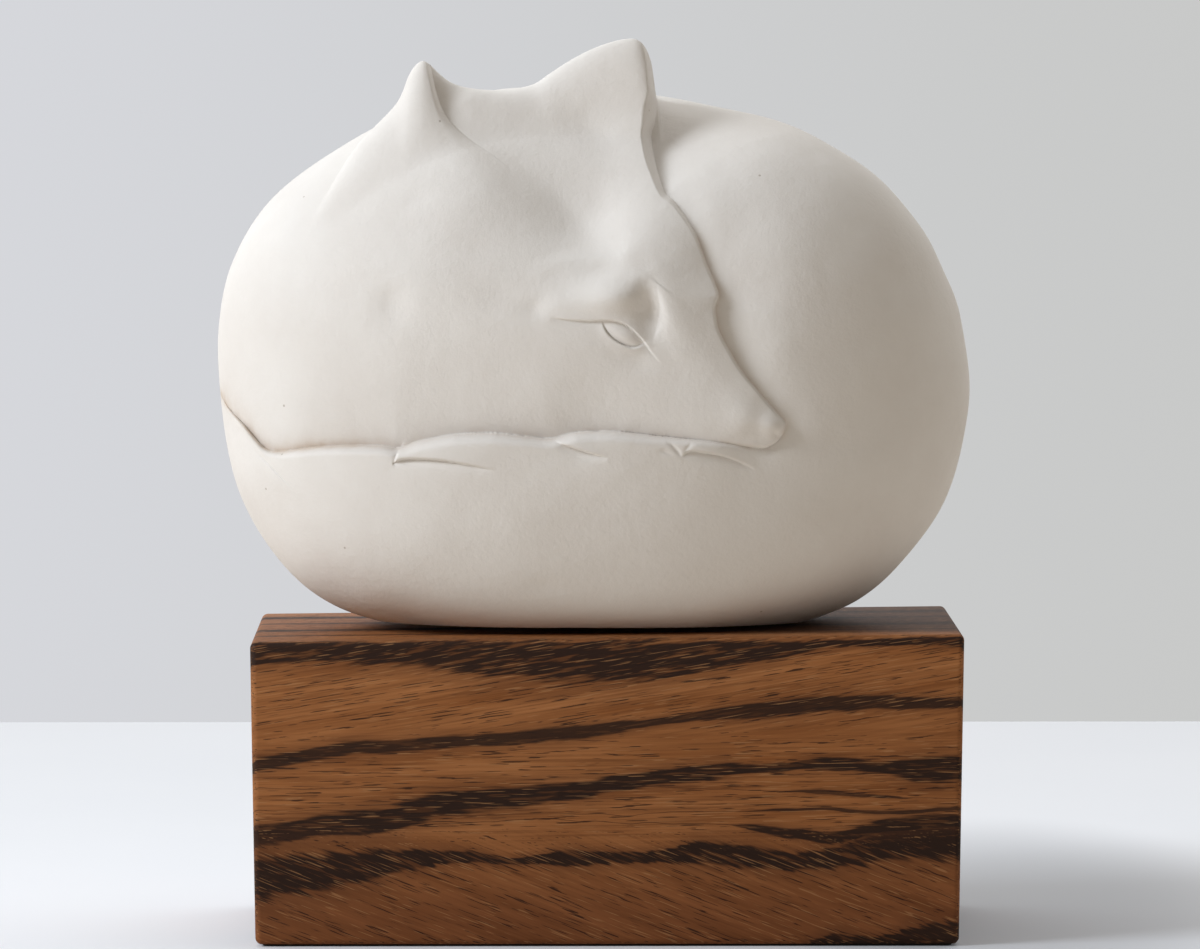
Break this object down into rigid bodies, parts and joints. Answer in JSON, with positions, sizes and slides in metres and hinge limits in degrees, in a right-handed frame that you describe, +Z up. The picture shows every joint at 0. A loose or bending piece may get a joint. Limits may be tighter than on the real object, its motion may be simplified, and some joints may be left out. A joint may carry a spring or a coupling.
{
  "type": "fox figurine",
  "caption": "Curled-up sleeping fox in matte off-white unglazed ceramic, held by a pin on a rectangular plinth of dark-striped hardwood.",
  "frame": {"origin": "middle of the underside of the felt sheet, on the pin's axis", "axes": "+Z up along the mounting pin, -Y towards the viewer of the fox's face, +X towards its haunch"},
  "size_m": [0.1609, 0.0973, 0.1923],
  "materials": {
    "hardwood": "oiled, dark stripes",
    "felt": "pressed felt",
    "brass": "turned",
    "steel": "ground",
    "ceramic": "matte, unglazed",
    "filler": "cast filler"
  },
  "bodies": {
    "plinth": {"plinth_block": "hardwood", "base_felt": "felt", "pin_bush": "brass"},
    "pin": {"mounting_pin": "steel"},
    "figure": {"fox_figure": "ceramic", "anchor_plug": "filler", "socket_sleeve": "brass", "seat_washer": "felt"}
  },
  "joints": [
    {"name": "figure_turn", "type": "hinge", "parent": "plinth", "child": "pin", "pos_m": [0, 0, 0.065], "axis": [0, 0, 1], "continuous": true},
    {"name": "figure_lift", "type": "slide", "parent": "pin", "child": "figure", "axis": [0, 0, 1], "range_m": [0, 0.045]}
  ]
}
